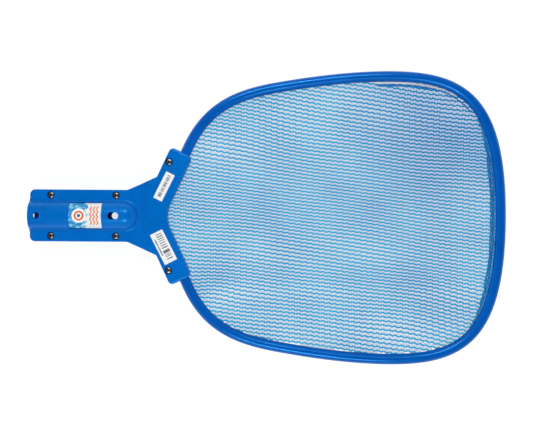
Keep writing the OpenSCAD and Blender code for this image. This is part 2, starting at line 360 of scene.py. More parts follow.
class Axis(Enum):
    """The axis along which a prism runs or about which a turned shape spins."""

    X = 0
    Z = 2


def prism(name: str, outline: Sequence[Sequence[float]], low: float, high: float,
          axis: Axis = Axis.Z, flare: float = 0.0, rise: float = 0.0) -> bpy.types.Object:
    """Extrudes a flat outline.

    Args:
        name: the object's name.
        outline: (x, y) points for axis Z, or (y, z) points for axis X.
        low: where it starts along the axis.
        high: where it ends along the axis.
        axis: the axis along which it runs.
        flare: how far its far end is spread over the last stretch.
        rise: the length of that last stretch.

    Returns:
        The closed prism.
    """
    place = ((lambda p: (p[0], p[1], low)) if axis is Axis.Z else (lambda p: (low, p[0], p[1])))
    obj = ring_of(name, [place(p) for p in outline], True)
    along = Vector((0, 0, 1)) if axis is Axis.Z else Vector((1, 0, 0))
    edit(obj)
    bpy.ops.mesh.select_all(action="SELECT")
    bpy.ops.mesh.extrude_region_move(TRANSFORM_OT_translate={"value": along * (high - low)})
    if flare:
        span = np.ptp(np.array(outline), axis=0)
        middle = np.array(outline).mean(0)
        bpy.ops.mesh.extrude_region_move(TRANSFORM_OT_translate={"value": along * rise})
        bpy.ops.transform.resize(value=(1 + 2 * flare / span[0], 1 + 2 * flare / span[1], 1),
                                 center_override=(middle[0], middle[1], high + rise))
        bpy.ops.mesh.extrude_region_move(TRANSFORM_OT_translate={"value": along * 4 * MM})
    leave_edit()
    tidy_faces(obj)
    return obj


def turned(name: str, profile: Sequence[Point2], centre: Sequence[float] = (0, 0, 0),
           axis: Axis = Axis.Z, steps: int = 48) -> bpy.types.Object:
    """Spins a profile into a closed solid.

    Args:
        name: the object's name.
        profile: (radius, height) points; the first and the last lie on the axis.
        centre: where the axis is.
        axis: the axis of the spin.
        steps: how many faces go round.

    Returns:
        The solid.
    """
    x, y, z = centre
    if axis is Axis.Z:
        points = [(x + r, y, z + h) for r, h in profile]
    else:
        points = [(x + h, y, z + r) for r, h in profile]
    obj = ring_of(name, points, False)
    edit(obj)
    last = len(points) - 1
    closing = {0, last}
    pick(obj, lambda e: {v.index for v in e.verts} == closing)
    bpy.ops.mesh.delete(type="EDGE")
    bpy.ops.mesh.select_all(action="SELECT")
    spin_axis = (0, 0, 1) if axis is Axis.Z else (1, 0, 0)
    bpy.ops.mesh.spin(steps=steps, angle=math.tau, center=centre, axis=spin_axis)
    leave_edit()
    tidy_faces(obj)
    return obj


def cut(obj: bpy.types.Object, tool: bpy.types.Object, how: str = "DIFFERENCE") -> None:
    """Cuts obj with a tool, or joins them, and removes the tool."""
    only(obj)
    modifier = obj.modifiers.new("cut", "BOOLEAN")
    modifier.operation = how
    modifier.solver = "EXACT"
    modifier.object = tool
    bpy.ops.object.modifier_apply(modifier=modifier.name)
    bpy.data.objects.remove(tool)


def smooth(obj: bpy.types.Object, degrees: float = 32.0, weighted: bool = True) -> None:
    """Shades obj smooth up to an angle, with the large faces kept flat."""
    only(obj)
    bpy.ops.object.shade_smooth_by_angle(angle=math.radians(degrees))
    if weighted:
        modifier = obj.modifiers.new("normals", "WEIGHTED_NORMAL")
        modifier.keep_sharp = True
        modifier.weight = 60
        bpy.ops.object.modifier_apply(modifier=modifier.name)


def dress(obj: bpy.types.Object, material: bpy.types.Material) -> None:
    """Gives obj that one material."""
    obj.data.materials.clear()
    obj.data.materials.append(material)
    for polygon in obj.data.polygons:
        polygon.material_index = 0


def from_arrays(name: str, points: np.ndarray, faces: np.ndarray) -> bpy.types.Object:
    """Makes a mesh object from arrays of points and of equal-sided faces."""
    mesh = bpy.data.meshes.new(name)
    sides = faces.shape[1]
    mesh.vertices.add(len(points))
    mesh.vertices.foreach_set("co", points.astype(np.float32).ravel())
    mesh.loops.add(faces.size)
    mesh.loops.foreach_set("vertex_index", faces.astype(np.int32).ravel())
    mesh.polygons.add(len(faces))
    mesh.polygons.foreach_set("loop_start", np.arange(0, faces.size, sides, dtype=np.int32))
    mesh.update(calc_edges=True)
    mesh.validate()
    obj = bpy.data.objects.new(name, mesh)
    bpy.context.scene.collection.objects.link(obj)
    return obj


# ---------------------------------------------------------------- finishes


def linear(code: str) -> Colour:
    """Turns a six-digit colour code into linear light."""
    shares = [int(code[k:k + 2], 16) / 255 for k in (0, 2, 4)]
    return tuple(c / 12.92 if c <= 0.04045 else ((c + 0.055) / 1.055) ** 2.4 for c in shares)


class Sheet:
    """A material's node tree, with short calls to add and join its nodes."""

    def __init__(self, name: str) -> None:
        """Makes the material with one Principled shader."""
        self.material = bpy.data.materials.new(name)
        self.material.use_nodes = True
        self.tree = self.material.node_tree
        self.shader = next(n for n in self.tree.nodes if n.type == "BSDF_PRINCIPLED")
        self.place = self.node("ShaderNodeTexCoord").outputs["Object"]

    def node(self, kind: str, **settings: object) -> bpy.types.Node:
        """Adds a node and sets its properties."""
        made = self.tree.nodes.new(kind)
        for name, value in settings.items():
            setattr(made, name, value)
        return made

    def join(self, source: object, target: bpy.types.NodeSocket) -> None:
        """Links a socket to target, or sets a plain value on it."""
        if isinstance(source, bpy.types.NodeSocket):
            self.tree.links.new(source, target)
        else:
            target.default_value = source

    def maths(self, operation: str, a: object, b: object = 0.0, clamp: bool = False) -> object:
        """Adds a Math node and gives its output."""
        made = self.node("ShaderNodeMath", operation=operation, use_clamp=clamp)
        self.join(a, made.inputs[0])
        self.join(b, made.inputs[1])
        return made.outputs[0]

    def noise(self, scale: float, detail: float = 2.0, place: object = None) -> object:
        """Adds a noise of so many cells to the metre and gives its value."""
        made = self.node("ShaderNodeTexNoise")
        self.join(place or self.place, made.inputs["Vector"])
        made.inputs["Scale"].default_value = scale
        made.inputs["Detail"].default_value = detail
        return made.outputs["Fac"]

    def spread(self, value: object, low: float, high: float, start: float = 0.0,
               end: float = 1.0) -> object:
        """Maps a value from low..high to start..end, clamped."""
        made = self.node("ShaderNodeMapRange")
        self.join(value, made.inputs["Value"])
        made.inputs["From Min"].default_value = low
        made.inputs["From Max"].default_value = high
        made.inputs["To Min"].default_value = start
        made.inputs["To Max"].default_value = end
        return made.outputs["Result"]

    def mix(self, share: object, a: object, b: object) -> object:
        """Mixes two colours and gives the result."""
        made = self.node("ShaderNodeMix", data_type="RGBA")
        self.join(share, made.inputs[0])
        for source, socket in ((a, made.inputs[6]), (b, made.inputs[7])):
            self.join((*source, 1.0) if isinstance(source, tuple) else source, socket)
        return made.outputs[2]

    def bump(self, height: object, strength: float, distance: float) -> None:
        """Bumps the surface by a height."""
        made = self.node("ShaderNodeBump")
        made.inputs["Strength"].default_value = strength
        made.inputs["Distance"].default_value = distance
        self.join(height, made.inputs["Height"])
        self.join(made.outputs["Normal"], self.shader.inputs["Normal"])

    def frame_at(self, origin: Sequence[float], angle: float) -> tuple[object, object]:
        """Gives x and y measured from origin along directions turned by angle."""
        mapping = self.node("ShaderNodeMapping", vector_type="TEXTURE")
        self.join(self.place, mapping.inputs["Vector"])
        mapping.inputs["Location"].default_value = (origin[0], origin[1], 0)
        mapping.inputs["Rotation"].default_value = (0, 0, angle)
        split = self.node("ShaderNodeSeparateXYZ")
        self.join(mapping.outputs[0], split.inputs[0])
        return split.outputs["X"], split.outputs["Y"]

    def inside(self, value: object, low: float, high: float, soft: float = 0.05 * MM) -> object:
        """Gives 1 where the value is between low and high, with soft edges."""
        up = self.spread(value, low - soft, low + soft)
        down = self.spread(value, high - soft, high + soft, 1.0, 0.0)
        return self.maths("MULTIPLY", up, down)


@dataclass(frozen=True)
class MouldedPlastic:
    """Coloured moulded plastic with a fine grain."""

    name: str
    colour: str
    roughness: float
    grain: float
    specular: float = 0.35
    coat: float = 0.0
    shine: str = "38b0ff"

    def material(self) -> bpy.types.Material:
        """Builds the material."""
        sheet = Sheet(self.name)
        shader = sheet.shader.inputs
        base = linear(self.colour)
        cloud = sheet.spread(sheet.noise(28, 3), 0.35, 0.65)
        deep, light = tuple(c * 0.93 for c in base), tuple(c * 1.05 + 0.001 for c in base)
        sheet.join(sheet.mix(cloud, deep, light), shader["Base Color"])
        rub = sheet.spread(sheet.noise(160, 4), 0.3, 0.75, self.roughness * 0.86,
                           self.roughness * 1.2)
        sheet.join(rub, shader["Roughness"])
        shader["Specular IOR Level"].default_value = self.specular
        shader["Specular Tint"].default_value = (*linear(self.shine), 1.0)
        shader["Coat Weight"].default_value = self.coat
        shader["Coat Roughness"].default_value = 0.12
        grain = sheet.maths("ADD", sheet.noise(2400, 2), sheet.noise(420, 2))
        sheet.bump(grain, self.grain, 0.06 * MM)
        return sheet.material


@dataclass(frozen=True)
class BareMetal:
    """Bare metal with fine turning marks and a little tarnish, with painted shade below a height."""

    name: str
    colour: str
    roughness: float
    tarnish: str
    # The height below which shade is painted on the metal; -1 paints none.
    shade_painted_up_to: float = -1.0

    def material(self) -> bpy.types.Material:
        """Builds the material."""
        sheet = Sheet(self.name)
        shader = sheet.shader.inputs
        spots = sheet.spread(sheet.noise(900, 4), 0.48, 0.7)
        metal = sheet.mix(spots, linear(self.colour), linear(self.tarnish))
        split = sheet.node("ShaderNodeSeparateXYZ")
        sheet.join(sheet.place, split.inputs[0])
        # Painted shade: below the given height the metal turns near black (18181c), standing in for
        # the shade down in the screw's counterbore and cross recess.
        rim = sheet.spread(split.outputs["Z"], self.shade_painted_up_to - 0.5 * MM, self.shade_painted_up_to, 0.9, 0)
        sheet.join(sheet.mix(rim, metal, linear("18181c")), shader["Base Color"])
        sheet.join(sheet.spread(sheet.noise(1800, 3), 0.3, 0.7, self.roughness * 0.7,
                                self.roughness * 1.35), shader["Roughness"])
        shader["Metallic"].default_value = 1.0
        sheet.bump(sheet.noise(3200, 2), 0.15, 0.04 * MM)
        return sheet.material


@dataclass(frozen=True)
class Yarn:
    """Twisted yarn in two tones mixed at random, with fibres across it."""

    name: str
    deep: str
    light: str
    roughness: float = 0.62
    sheen: float = 0.05
    fibres: float = 0.4
    # A darker colour that the yarn turns to round a point near the upper right of the net; none when
    # empty.
    upper_right_tone: str = ""

    def material(self) -> bpy.types.Material:
        """Builds the material."""
        sheet = Sheet(self.name)
        shader = sheet.shader.inputs
        tone = sheet.spread(sheet.noise(520, 3), 0.3, 0.7)
        patch = sheet.spread(sheet.noise(14, 2), 0.35, 0.65, 0.0, 0.5)
        share = sheet.maths("ADD", sheet.maths("MULTIPLY", tone, 0.5), patch, clamp=True)
        colour = sheet.mix(share, linear(self.deep), linear(self.light))
        # Darker tone round a point near the upper right of the net: the colour turns towards the
        # given darker colour within 0.04 m of (0.575, 0.155) and fades out by 0.17 m.
        if self.upper_right_tone:
            x, y = sheet.frame_at((0.575, 0.155), 0)
            away = sheet.maths("SQRT", sheet.maths("ADD", sheet.maths("MULTIPLY", x, x),
                                                   sheet.maths("MULTIPLY", y, y)))
            share = sheet.spread(away, 0.04, 0.17, 0.95, 0.0)
            colour = sheet.mix(share, colour, linear(self.upper_right_tone))
        sheet.join(colour, shader["Base Color"])
        shader["Roughness"].default_value = self.roughness
        shader["Sheen Weight"].default_value = self.sheen
        shader["Specular IOR Level"].default_value = 0.12
        sheet.bump(sheet.noise(3000, 2), self.fibres, 0.1 * MM)
        return sheet.material


@dataclass(frozen=True)
class PaperPrint:
    """A white sticker with rows of plain bars and rules."""

    name: str
    centre: tuple[float, float]
    angle: float
    length: float
    width: float
    bars: bool
    paper: str = "eceef0"
    ink: str = "3c3a44"

    def material(self) -> bpy.types.Material:
        """Builds the material."""
        sheet = Sheet(self.name)
        shader = sheet.shader.inputs
        x, y = sheet.frame_at(self.centre, self.angle)
        print_share = self.bar_share(sheet, x, y) if self.bars else self.rule_share(sheet, x, y)
        worn = sheet.maths("MULTIPLY", print_share,
                           sheet.spread(sheet.noise(1500, 3), 0.25, 0.6, 0.7, 0.95))
        stain = sheet.mix(sheet.spread(sheet.noise(120, 3), 0.4, 0.7, 0.0, 0.35),
                          linear(self.paper), linear("d5d8dd"))
        sheet.join(sheet.mix(worn, stain, linear(self.ink)), shader["Base Color"])
        sheet.join(sheet.spread(sheet.noise(700, 2), 0.3, 0.7, 0.45, 0.6), shader["Roughness"])
        shader["Specular IOR Level"].default_value = 0.3
        sheet.bump(sheet.noise(2200, 3), 0.15, 0.05 * MM)
        return sheet.material

    def bar_share(self, sheet: Sheet, x: object, y: object) -> object:
        """Two blocks of upright bars of uneven width, one thick bar and a broken rule."""
        bar = self.dashes(sheet, x, 3.2 * MM, 0.3, 0.62)
        blocks = self.box(sheet, x, y, (-0.42, 0.06), (-0.14, 0.32))
        blocks = sheet.maths("ADD", blocks, self.box(sheet, x, y, (0.23, 0.43), (-0.16, 0.30)))
        thick = self.box(sheet, x, y, (0.10, 0.19), (-0.18, 0.32))
        rule = sheet.maths("MULTIPLY", self.dashes(sheet, x, 1.5 * MM, 0.6, 0.95),
                           self.box(sheet, x, y, (-0.32, 0.22), (-0.38, -0.27)))
        share = sheet.maths("ADD", sheet.maths("MULTIPLY", bar, blocks), thick)
        return sheet.maths("ADD", share, rule, clamp=True)

    def rule_share(self, sheet: Sheet, x: object, y: object) -> object:
        """One broken rule along the sticker."""
        groups = sheet.maths("GREATER_THAN", self.dashes(sheet, x, 7.6 * MM, 0.78, 0.9), 0.5)
        dash = sheet.maths("MULTIPLY", groups, self.dashes(sheet, x, 2.1 * MM, 0.55, 0.9))
        return sheet.maths("MULTIPLY", dash, self.box(sheet, x, y, (-0.42, 0.42), (-0.17, 0.17)))

    def box(self, sheet: Sheet, x: object, y: object, along: tuple[float, float],
            across: tuple[float, float]) -> object:
        """A box on the sticker, as shares of its length and width."""
        return sheet.maths("MULTIPLY",
                           sheet.inside(x, along[0] * self.length, along[1] * self.length),
                           sheet.inside(y, across[0] * self.width, across[1] * self.width))

    @staticmethod
    def dashes(sheet: Sheet, x: object, period: float, thin: float, fat: float) -> object:
        """Bars at a period along x, each covering an uneven share of it."""
        count = sheet.maths("MULTIPLY", x, 1 / period)
        cell = sheet.maths("FLOOR", count)
        wobble = sheet.node("ShaderNodeTexWhiteNoise", noise_dimensions="1D")
        sheet.join(cell, wobble.inputs["W"])
        share = sheet.spread(wobble.outputs["Value"], 0, 1, thin, fat)
        return sheet.maths("LESS_THAN", sheet.maths("SUBTRACT", count, cell), share)


@dataclass(frozen=True)
class FrontPrint:
    """The front label's print: water on one part, plain waves and rules on the other."""

    name: str
    start: float
    length: float
    width: float

    def material(self) -> bpy.types.Material:
        """Builds the material."""
        sheet = Sheet(self.name)
        shader = sheet.shader.inputs
        x, y = sheet.frame_at((self.start, 0), 0)
        ripple = sheet.spread(sheet.noise(210, 3), 0.47, 0.56)
        water = sheet.mix(ripple, linear("1a86c0"), linear("7cc9e6"))
        edge = sheet.maths("ADD", x, sheet.spread(sheet.noise(170, 2), 0.3, 0.7, -7 * MM, 7 * MM))
        dry = sheet.spread(edge, 0.5 * self.length, 0.54 * self.length)
        ground = sheet.mix(dry, water, linear("e9ebec"))
        disc = self.ring_share(sheet, x, y, 0.0, 9.5 * MM)
        ground = sheet.mix(disc, ground, linear("f1f2f2"))
        ground = sheet.mix(self.ring_share(sheet, x, y, 4.2 * MM, 6.6 * MM), ground,
                           linear("e2641f"))
        ground = sheet.mix(self.ring_share(sheet, x, y, 0.0, 2.2 * MM), ground, linear("1567ae"))
        ground = sheet.mix(self.waves(sheet, x, y), ground, linear("e37a41"))
        sheet.join(ground, shader["Base Color"])
        shader["Roughness"].default_value = 0.32
        shader["Specular IOR Level"].default_value = 0.35
        sheet.bump(sheet.noise(900, 2), 0.08, 0.05 * MM)
        return sheet.material

    def ring_share(self, sheet: Sheet, x: object, y: object, inner: float, outer: float) -> object:
        """A ring, or a disc when inner is zero, round the middle of the water."""
        across = sheet.maths("SUBTRACT", x, 0.32 * self.length)
        radius = sheet.maths("SQRT", sheet.maths("ADD", sheet.maths("MULTIPLY", across, across),
                                                 sheet.maths("MULTIPLY", y, y)))
        return sheet.inside(radius, inner - MM if inner == 0 else inner, outer, 0.15 * MM)

    def waves(self, sheet: Sheet, x: object, y: object) -> object:
        """Three wavy rules beside each other on the dry part."""
        sway = sheet.maths("MULTIPLY", sheet.maths("SINE", sheet.maths("MULTIPLY", y, 900)),
                           0.9 * MM)
        along = sheet.maths("ADD", x, sway)
        share: object = 0.0
        for place in (0.66, 0.76, 0.86):
            rule = sheet.inside(along, place * self.length, (place + 0.045) * self.length,
                                0.15 * MM)
            share = sheet.maths("ADD", share, rule, clamp=True)
        return sheet.maths("MULTIPLY", share,
                           sheet.inside(y, -0.36 * self.width, 0.36 * self.width, 0.2 * MM))


SHELL_BLUE = MouldedPlastic("shell_blue", "0068c1", 0.25, 0.10, 0.5, 0.0, "58c0ff")
HOOP_BLUE = MouldedPlastic("hoop_blue", "0055b0", 0.23, 0.05, 0.8, 0.02, "48b8ff")
TUBE_ALUMINIUM = BareMetal("tube_aluminium", "c9ccd0", 0.3, "9fa3a8")
# The net's blue and pale yarns both turn darker and bluer round a point near the upper right of the
# net.
NET_BLUE = Yarn("net_blue", "0aa2da", "3cc6ee", upper_right_tone="008cc8")
NET_PALE = Yarn("net_pale", "b6c4d8", "ccd6e6", 0.6, upper_right_tone="58a0d6")
NET_HEM = Yarn("net_hem", "0064b0", "0480c8", 0.6)
HEM_WHITE = Yarn("hem_white", "c9d2da", "eef1f3", 0.7, 0.3, 0.6)


# ---------------------------------------------------------------- handle and yoke


class Half(Enum):
    """The two halves of the handle and yoke."""

    FRONT = 1
    BACK = -1


@dataclass
class HandleShells:
    """The two moulded halves of the handle and the yoke."""

    plan: SkimmerPlan
    edge_r: float = 1.6 * MM
    end_r: float = 3.4 * MM
    fillet_r: float = 4 * MM
    ramp_start: float = 2 * MM
    ramp_len: float = 11 * MM
    counterbore_r: float = 5.1 * MM
    shank_hole_r: float = 1.9 * MM
    seats: tuple[float, float] = (2.8 * MM, 5.6 * MM)
    clearance: float = 0.15 * MM
    slit_h: float = 0.9 * MM
    flat_margin: float = 7.5 * MM
    label_x: tuple[float, float] = (54.8 * MM, 98 * MM)
    label_half: float = 16.7 * MM
    label_gap: float = 0.7 * MM
    label_depth: float = 0.9 * MM

    def handle_screw_places(self) -> list[Point2]:
        """Gives the places of the handle's screws."""
        y = self.plan.housing_r + self.plan.flange_w / 2
        return [(x, s * y) for x in (28 * MM, self.plan.handle_len - 15.7 * MM) for s in (-1, 1)]

    def wing_screw_places(self) -> list[Point2]:
        """Gives the places of the wings' screws."""
        x, y = self.plan.wing(68.5 * MM, self.plan.wing_w - 6.5 * MM)
        return [(x, s * y) for s in (-1, 1)]

    def slab(self) -> bpy.types.Object:
        """Builds the flanges and the yoke, with rounded edges and a ramp between them."""
        plan = self.plan
        slab = prism("slab", plan.outline(), -4 * MM, plan.yoke_h)
        start = plan.housing_len + self.ramp_start
        pieces = 6
        edit(slab)
        for k in range(pieces + 1):
            bpy.ops.mesh.select_all(action="SELECT")
            bpy.ops.mesh.bisect(plane_co=(start + self.ramp_len * k / pieces, 0, 0),
                                plane_no=(1, 0, 0))
        leave_edit()
        for vertex in slab.data.vertices:
            if vertex.co.z > plan.flange_h:
                t = min(1.0, max(0.0, (vertex.co.x - start) / self.ramp_len))
                vertex.co.z = plan.flange_h + (plan.yoke_h - plan.flange_h) * t * t * (3 - 2 * t)
        edit(slab)
        pick(slab, lambda e: len(e.link_faces) == 2 and min(v.co.z for v in e.verts) > 5 * MM
             and min(abs(f.normal.z) for f in e.link_faces) < 0.3
             and max(f.normal.z for f in e.link_faces) > 0.5)
        mesh = bmesh.from_edit_mesh(slab.data)
        weight = mesh.edges.layers.float.new("bevel_weight_edge")
        for e in mesh.edges:
            if e.select:
                e[weight] = self.rounding((e.verts[0].co + e.verts[1].co) / 2) / self.end_r
        leave_edit()
        modifier = slab.modifiers.new("rounding", "BEVEL")
        modifier.limit_method = "WEIGHT"
        modifier.width = self.end_r
        modifier.segments = 5
        bpy.ops.object.modifier_apply(modifier=modifier.name)
        return slab

    def rounding(self, point: Vector) -> float:
        """Gives the radius of the slab's edge there, larger at the ends of the wings."""
        away = np.array([point.x - self.plan.vee_x, abs(point.y)])
        share = float(away @ self.plan.tail_dir - self.plan.wing_len + 7 * MM) / (5 * MM)
        return self.edge_r + (self.end_r - self.edge_r) * min(1.0, max(0.0, share))

    def housing(self) -> bpy.types.Object:
        """Builds the round housing with its dome, and the fillet round its foot."""
        plan, f, radius = self.plan, self.fillet_r, self.plan.housing_r
        foot = plan.flange_h - 0.05 * MM
        out = math.sqrt((radius + f) ** 2 - (foot + f) ** 2)
        lean = math.atan2(foot + f, out)
        profile = [(out, -5 * MM)]
        for k in range(9):
            a = -math.pi / 2 - (math.pi / 2 - lean) * k / 8
            profile.append((out + f * math.cos(a), foot + f + f * math.sin(a)))
        for k in range(1, 17):
            a = lean + (math.pi / 2 - lean) * k / 16
            profile.append((radius * math.cos(a), radius * math.sin(a)))
        obj = ring_of("housing", [(plan.dome_x, r, z) for r, z in profile], False)
        edit(obj)
        closing = {0, len(profile) - 1}
        pick(obj, lambda e: {v.index for v in e.verts} == closing)
        bpy.ops.mesh.delete(type="EDGE")
        bpy.ops.mesh.select_all(action="SELECT")
        bpy.ops.mesh.spin(steps=40, angle=math.pi, center=(plan.dome_x, 0, 0), axis=(0, 0, 1))
        bpy.ops.mesh.select_all(action="SELECT")
        bpy.ops.mesh.remove_doubles(threshold=1e-6)
        pick(obj, lambda e: all(abs(v.co.x - plan.dome_x) < 1e-5 for v in e.verts)
             and len(e.link_faces) == 1)
        bpy.ops.mesh.extrude_region_move(TRANSFORM_OT_translate={"value": (-plan.dome_x, 0, 0)})
        pick(obj, lambda e: all(abs(v.co.x) < 1e-5 for v in e.verts))
        bpy.ops.mesh.edge_face_add()
        pick(obj, lambda e: len(e.link_faces) == 1)
        bpy.ops.mesh.edge_face_add()
        leave_edit()
        tidy_faces(obj)
        return obj

    def arch_tool(self, radius: float, half: float, low: float, high: float) -> bpy.types.Object:
        """Builds a tool that sinks a panel into the housing, down to a radius."""
        sweep = math.asin(half / radius)
        arc = [(radius * math.sin(a), radius * math.cos(a)) for a in np.linspace(-sweep, sweep, 25)]
        return prism("panel", arc + [(half, 26 * MM), (-half, 26 * MM)], low, high, Axis.X)

    def screw_wells(self, obj: bpy.types.Object) -> None:
        """Cuts the counterbores and the shank holes."""
        plan, lip = self.plan, 0.35 * MM
        tops = (plan.flange_h, plan.yoke_h)
        for places, seat, top in zip((self.handle_screw_places(), self.wing_screw_places()),
                                     self.seats, tops):
            for x, y in places:
                r = self.counterbore_r
                cut(obj, turned("well", [(0, seat), (r, seat), (r, top - lip),
                                         (r + lip, top + 0.1 * MM), (r + lip, top + 3 * MM),
                                         (0, top + 3 * MM)], (x, y, 0), steps=40))
                cut(obj, turned("shank_hole", [(0, -MM), (self.shank_hole_r, -MM),
                                               (self.shank_hole_r, seat + 0.5 * MM),
                                               (0, seat + 0.5 * MM)], (x, y, 0), steps=24))

    def button_cuts(self, obj: bpy.types.Object) -> None:
        """Cuts the button hole near the mouth and the slot near the dome."""
        plan, top = self.plan, self.plan.housing_r
        r, lip = plan.button_r, 0.5 * MM
        cut(obj, turned("button_hole", [(0, 5 * MM), (r, 5 * MM), (r, top - 2 * lip),
                                        (r + lip, top - 0.4 * lip), (r + lip, top + 2 * MM),
                                        (0, top + 2 * MM)], (plan.button_x, 0, 0)))
        run, half = (plan.slot_len - plan.slot_w) / 2, plan.slot_w / 2
        outline = [(plan.slot_x + s * run + half * math.cos(a), half * math.sin(a))
                   for s, first in ((1, -math.pi / 2), (-1, math.pi / 2))
                   for a in np.linspace(first, first + math.pi, 17)]
        cut(obj, prism("slot", outline, 5 * MM, top - 2 * lip, flare=lip, rise=1.6 * lip))

    def hoop_channels(self, obj: bpy.types.Object) -> None:
        """Cuts the channels for the hoop's tails and the slit for the net."""
        plan = self.plan
        radius = plan.tube_r + self.clearance
        for side in (1, -1):
            start = plan.wing(plan.wing_len - plan.tail_len - self.clearance, plan.tail_inset)
            end = plan.wing(plan.wing_len + 2 * MM, plan.tail_inset)
            if side < 0:
                start, end = flipped(start), flipped(end)
            middle, run = (start + end) / 2, end - start
            select_none()
            bpy.ops.mesh.primitive_cylinder_add(
                vertices=64, radius=radius, depth=float(np.linalg.norm(run)),
                location=(middle[0], middle[1], 0),
                rotation=(math.pi / 2, 0, math.atan2(run[1], run[0]) + math.pi / 2))
            bpy.ops.object.transform_apply(location=True, rotation=True, scale=True)
            cut(obj, bpy.context.object)
        edge, far = self.flat_margin, plan.wing_len + MM
        half = [plan.wing(far, edge), plan.wing(far, -edge)]
        outline = ([np.array([plan.vee_x - edge / math.cos(plan.wing_lean), 0])] + half
                   + [np.array([plan.vee_x + 2 * edge, 0])] + [flipped(p) for p in reversed(half)])
        cut(obj, prism("slit", outline, -MM, self.slit_h))

    def bore(self, obj: bpy.types.Object) -> None:
        """Bores the pole socket, with a small lead at its mouth."""
        r, lead = self.plan.bore_r, 0.6 * MM
        profile = [(0, -2 * MM), (r + lead, -2 * MM), (r + lead, -0.1 * MM), (r, lead),
                   (r, self.plan.bore_depth), (0, self.plan.bore_depth)]
        cut(obj, turned("bore", profile, axis=Axis.X, steps=96))

    def build(self, half: Half, name: str) -> bpy.types.Object:
        """Builds one half of the handle and yoke.

        Args:
            half: which half.
            name: the piece's name.

        Returns:
            The piece.
        """
        obj = self.slab()
        cut(obj, self.housing(), "UNION")
        edit(obj)
        bpy.ops.mesh.select_all(action="SELECT")
        bpy.ops.mesh.bisect(plane_co=(0, 0, 0), plane_no=(0, 0, 1), use_fill=True,
                            clear_inner=True)
        leave_edit()
        self.bore(obj)
        self.hoop_channels(obj)
        self.button_cuts(obj)
        if half is Half.FRONT:
            self.screw_wells(obj)
            low, high = self.label_x
            radius = self.plan.housing_r
            cut(obj, self.arch_tool(radius - self.label_depth, self.label_half + self.label_gap,
                                    low - self.label_gap, high + self.label_gap))
            cut(obj, self.arch_tool(radius - 0.4 * MM, 10 * MM, -MM, 2 * self.plan.button_x))
        else:
            self.screw_bosses(obj)
            edit(obj)
            bpy.ops.mesh.select_all(action="SELECT")
            bpy.ops.transform.resize(value=(1, 1, -1), center_override=(0, 0, 0))
            leave_edit()
        tidy_faces(obj)
        obj.name = obj.data.name = name
        smooth(obj)
        return obj

    def screw_bosses(self, obj: bpy.types.Object) -> None:
        """Sinks the blind holes that take the screws' ends."""
        depths = (self.plan.flange_h - 0.6 * MM, self.plan.yoke_h - 2.4 * MM)
        for places, depth in zip((self.handle_screw_places(), self.wing_screw_places()), depths):
            for x, y in places:
                cut(obj, turned("boss", [(0, -MM), (1.85 * MM, -MM), (1.85 * MM, depth),
                                         (0, depth)], (x, y, 0), steps=24))


@dataclass
class Screws:
    """The pan-head screws that hold the halves together."""

    head_r: float = 4.3 * MM
    head_h: float = 2.4 * MM
    shank_r: float = 1.8 * MM

    def steel(self, name: str, seat: float) -> bpy.types.Material:
        """Gives the steel of screws on that seat, with painted shade on their heads up to near the
        top, standing in for the shade in the counterbores.
        """
        return BareMetal(name, "a2988e", 0.36, "4c4440", seat + 0.86 * self.head_h).material()

    def screw(self, name: str, length: float) -> bpy.types.Object:
        """Builds one screw with its seat at the origin.

        Args:
            name: the object's name.
            length: the length of its shank.

        Returns:
            The screw.
        """
        r, h, s = self.head_r, self.head_h, self.shank_r
        dome = [(r * math.cos(a), 0.45 * h + 0.55 * h * math.sin(a))
                for a in np.linspace(0, math.pi / 2, 9)[:-1]]
        profile = [(0, -length), (0.6 * s, -length), (s, -length + 1.4 * s), (s, 0),
                   (r, 0), (r, 0.3 * h)] + dome + [(0, h)]
        obj = turned(name, profile, steps=48)
        for turn in (0, math.pi / 2):
            c, d = math.cos(turn), math.sin(turn)
            bar = [(c * x - d * y, d * x + c * y) for x, y in
                   ((-2.7 * MM, -0.6 * MM), (2.7 * MM, -0.6 * MM), (2.7 * MM, 0.6 * MM),
                    (-2.7 * MM, 0.6 * MM))]
            cut(obj, prism("recess", bar, 0.45 * h, h + MM))
        tidy_faces(obj)
        return obj

    def build(self, name: str, places: Iterable[Point2], seat: float, length: float,
              turns: Sequence[float]) -> bpy.types.Object:
        """Builds a set of like screws.

        Args:
            name: the piece's name.
            places: where they stand in the plan.
            seat: the height of their seats.
            length: the length of their shanks.
            turns: how far each is turned, in degrees.

        Returns:
            The set as one piece.
        """
        model = self.screw(name, length)
        copies = []
        for (x, y), turn in zip(places, turns):
            copy = model.copy()
            copy.data = model.data.copy()
            bpy.context.scene.collection.objects.link(copy)
            copy.data.transform(Matrix.Translation((x, y, seat))
                                @ Matrix.Rotation(math.radians(turn), 4, "Z"))
            copies.append(copy)
        bpy.data.objects.remove(model)
        select_none()
        for copy in copies:
            copy.select_set(True)
        bpy.context.view_layer.objects.active = copies[0]
        bpy.ops.object.join()
        obj = copies[0]
        obj.name = obj.data.name = name
        smooth(obj, 35)
        return obj


# ---------------------------------------------------------------- hoop


